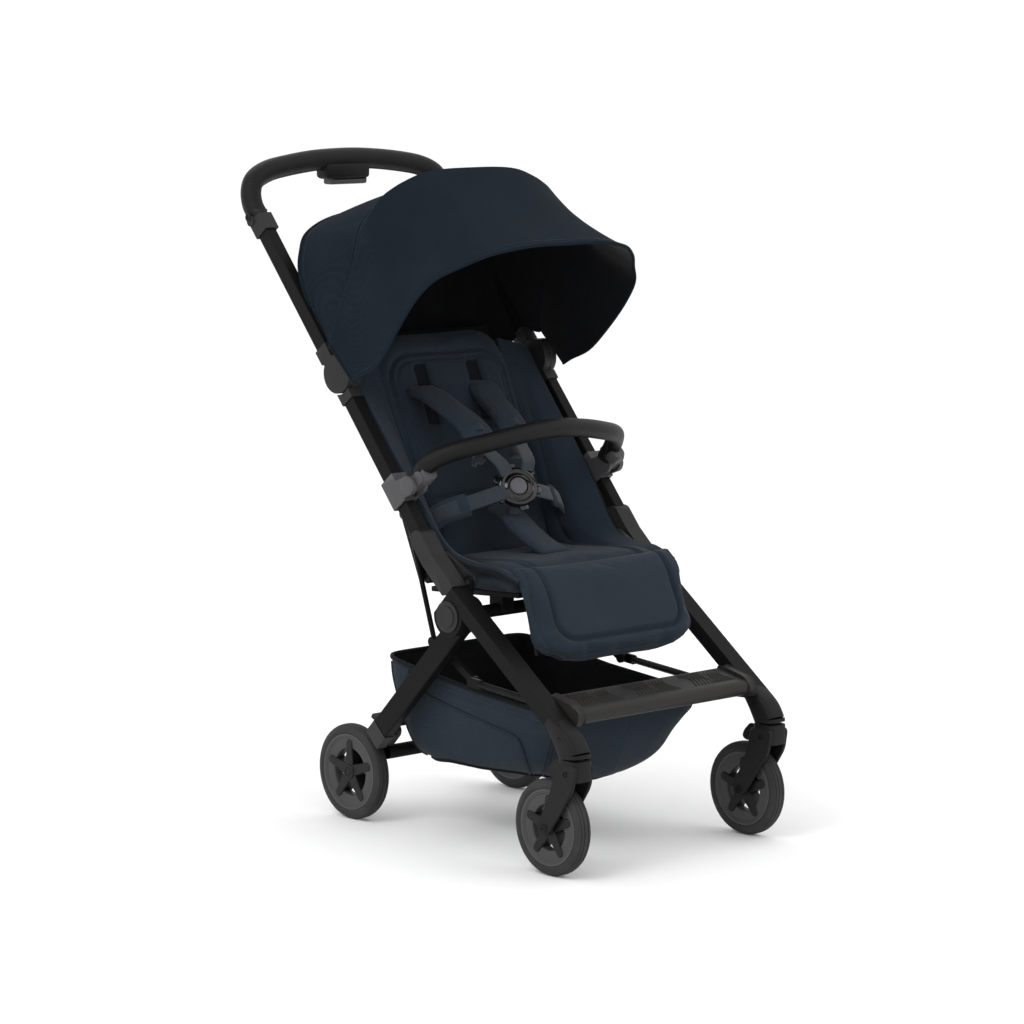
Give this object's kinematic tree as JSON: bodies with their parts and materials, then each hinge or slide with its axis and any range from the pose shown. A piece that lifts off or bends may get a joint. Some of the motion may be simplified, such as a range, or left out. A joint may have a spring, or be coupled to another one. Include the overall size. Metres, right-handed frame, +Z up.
{
  "type": "baby stroller",
  "caption": "Compact folding baby stroller with leather-wrapped handle loop and bumper bar, navy canopy, padded seat with harness, calf rest, cloth basket and castor wheels.",
  "frame": {"origin": "on the floor, under the middle of the part", "axes": "+Z up, -Y forwards (the way the child faces), +X to the child's left"},
  "size_m": [0.452, 0.7856, 1.035],
  "materials": {
    "frame": "satin black powder coat",
    "fitting": "fine moulded texture",
    "grey_plastic": "satin",
    "rim": "fine moulded texture",
    "tyre": "matt, fine grooves",
    "leather": "grained, stitched",
    "fabric": "navy plain weave",
    "harness_pad": "padded navy weave",
    "webbing": "ribbed webbing",
    "lining": "black lining cloth",
    "board": "matt sheet",
    "gloss_plastic": "glossy black",
    "steel": "brushed"
  },
  "bodies": {
    "chassis": {"front_leg_right": "frame", "front_leg_left": "frame", "knuckle_right": "fitting", "knuckle_left": "fitting", "footrest_bar": "fitting", "hub_axle_tube": "frame", "seat_board": "board", "seat_pad": "fabric", "basket": "fabric", "pivot_screws": "fitting"},
    "castor_right": {"castor_fork_right": "fitting", "front_axle_right": "steel"},
    "castor_left": {"castor_fork_left": "fitting", "front_axle_left": "steel"},
    "front_wheel_right": {"front_tyre_right": "tyre", "front_rim_right": "rim"},
    "front_wheel_left": {"front_tyre_left": "tyre", "front_rim_left": "rim"},
    "rear_frame": {"rear_leg_right": "frame", "rear_leg_left": "frame", "rear_foot_right": "fitting", "rear_foot_left": "fitting", "rear_cross_tube": "frame"},
    "rear_wheel_right": {"rear_tyre_right": "tyre", "rear_rim_right": "rim"},
    "rear_wheel_left": {"rear_tyre_left": "tyre", "rear_rim_left": "rim"},
    "brake": {"brake_pedal": "fitting"},
    "seat_frame": {"seat_tube_right": "frame", "seat_tube_left": "frame", "bend_fitting_right": "fitting", "bend_fitting_left": "fitting", "bumper_clamps": "grey_plastic", "upper_hubs": "fitting", "canopy_rear_panel": "fabric", "buckle": "gloss_plastic", "waist_pads": "harness_pad", "crotch_pad": "harness_pad"},
    "handle": {"push_tube_right": "frame", "push_tube_left": "frame", "hub_caps": "fitting", "handle_core": "frame", "handle_grip": "leather", "handle_collars": "fitting", "trigger_housing": "fitting"},
    "trigger": {"trigger_lever": "grey_plastic"},
    "lock_slider": {"fold_slider": "grey_plastic"},
    "bumper": {"bumper_bar": "leather", "bumper_collars": "grey_plastic"},
    "struts": {"struts": "frame"},
    "rim_rails": {"rim_rails": "frame"},
    "canopy_mid": {"canopy_mid_panel": "fabric"},
    "canopy_front": {"canopy_front_panel": "fabric", "canopy_front_bow": "frame"},
    "backrest": {"backrest_board": "board", "backrest_pad": "fabric", "shoulder_pads": "harness_pad"},
    "calf_rest": {"calf_board": "board", "calf_pad": "fabric"},
    "buckle_button": {"buckle_button": "grey_plastic"}
  },
  "joints": [
    {"name": "frame_fold", "type": "hinge", "parent": "chassis", "child": "seat_frame", "pos_m": [0, -0.112, 0.411], "axis": [1, 0, 0], "range_deg": [0, 93], "deforming": ["basket", "crotch_pad"]},
    {"name": "rear_fold", "type": "hinge", "parent": "chassis", "child": "rear_frame", "pos_m": [0, -0.1, 0.36], "axis": [1, 0, 0], "range_deg": [-88.61, 0]},
    {"name": "handle_fold", "type": "hinge", "parent": "seat_frame", "child": "handle", "pos_m": [0, 0.16, 0.706], "axis": [1, 0, 0], "range_deg": [-110.01, 0]},
    {"name": "rail_swing", "type": "hinge", "parent": "chassis", "child": "rim_rails", "pos_m": [0, -0.29, 0.236], "axis": [1, 0, 0], "range_deg": [0, 13.01]},
    {"name": "strut_swing", "type": "hinge", "parent": "seat_frame", "child": "struts", "pos_m": [0, 0.03, 0.5], "axis": [1, 0, 0], "range_deg": [-43.61, 0]},
    {"name": "castor_right_swivel", "type": "hinge", "parent": "chassis", "child": "castor_right", "pos_m": [-0.205, -0.363, 0.181], "axis": [0, 0, 1], "continuous": true},
    {"name": "castor_left_swivel", "type": "hinge", "parent": "chassis", "child": "castor_left", "pos_m": [0.205, -0.363, 0.181], "axis": [0, 0, 1], "continuous": true},
    {"name": "front_wheel_right_spin", "type": "hinge", "parent": "castor_right", "child": "front_wheel_right", "pos_m": [-0.205, -0.316, 0.0726], "axis": [1, 0, 0], "continuous": true},
    {"name": "front_wheel_left_spin", "type": "hinge", "parent": "castor_left", "child": "front_wheel_left", "pos_m": [0.205, -0.316, 0.0726], "axis": [1, 0, 0], "continuous": true},
    {"name": "rear_wheel_right_spin", "type": "hinge", "parent": "rear_frame", "child": "rear_wheel_right", "pos_m": [-0.1715, 0.178, 0.0755], "axis": [1, 0, 0], "continuous": true},
    {"name": "rear_wheel_left_spin", "type": "hinge", "parent": "rear_frame", "child": "rear_wheel_left", "pos_m": [0.1715, 0.178, 0.0755], "axis": [1, 0, 0], "continuous": true},
    {"name": "brake_press", "type": "hinge", "parent": "rear_frame", "child": "brake", "pos_m": [0, 0.141, 0.15], "axis": [1, 0, 0], "range_deg": [-16, 0]},
    {"name": "bumper_swing", "type": "hinge", "parent": "seat_frame", "child": "bumper", "pos_m": [0, -0.008, 0.549], "axis": [1, 0, 0], "range_deg": [-40, 0]},
    {"name": "backrest_recline", "type": "hinge", "parent": "seat_frame", "child": "backrest", "pos_m": [0, 0.05, 0.392], "axis": [1, 0, 0], "range_deg": [-38, 0]},
    {"name": "calf_rest_lift", "type": "hinge", "parent": "chassis", "child": "calf_rest", "pos_m": [0, -0.18, 0.418], "axis": [1, 0, 0], "range_deg": [-50, 0]},
    {"name": "canopy_close", "type": "hinge", "parent": "seat_frame", "child": "canopy_front", "pos_m": [0, 0.16, 0.706], "axis": [1, 0, 0], "range_deg": [-52, 0]},
    {"name": "canopy_mid_close", "type": "hinge", "parent": "seat_frame", "child": "canopy_mid", "pos_m": [0, 0.16, 0.706], "axis": [1, 0, 0], "range_deg": [-26.01, 0]},
    {"name": "trigger_squeeze", "type": "slide", "parent": "handle", "child": "trigger", "axis": [0, 0.1045, 0.9945], "range_m": [0, 0.004], "stiffness_N_per_m": 400, "springref_m": -0.005},
    {"name": "slider_push", "type": "slide", "parent": "handle", "child": "lock_slider", "axis": [-1, 0, 0], "range_m": [0, 0.0015], "stiffness_N_per_m": 400, "springref_m": -0.002},
    {"name": "buckle_press", "type": "slide", "parent": "seat_frame", "child": "buckle_button", "axis": [0, 0.8829, -0.4695], "range_m": [0, 0.003], "stiffness_N_per_m": 400, "springref_m": -0.003}
  ],
  "couplings": [
    {"joint": "rear_fold", "follows": "frame_fold", "ratio": -0.95269},
    {"joint": "handle_fold", "follows": "frame_fold", "ratio": -1.1828},
    {"joint": "rail_swing", "follows": "frame_fold", "ratio": 0.13978},
    {"joint": "strut_swing", "follows": "frame_fold", "ratio": -0.46882},
    {"joint": "canopy_mid_close", "follows": "canopy_close", "ratio": 0.5}
  ]
}
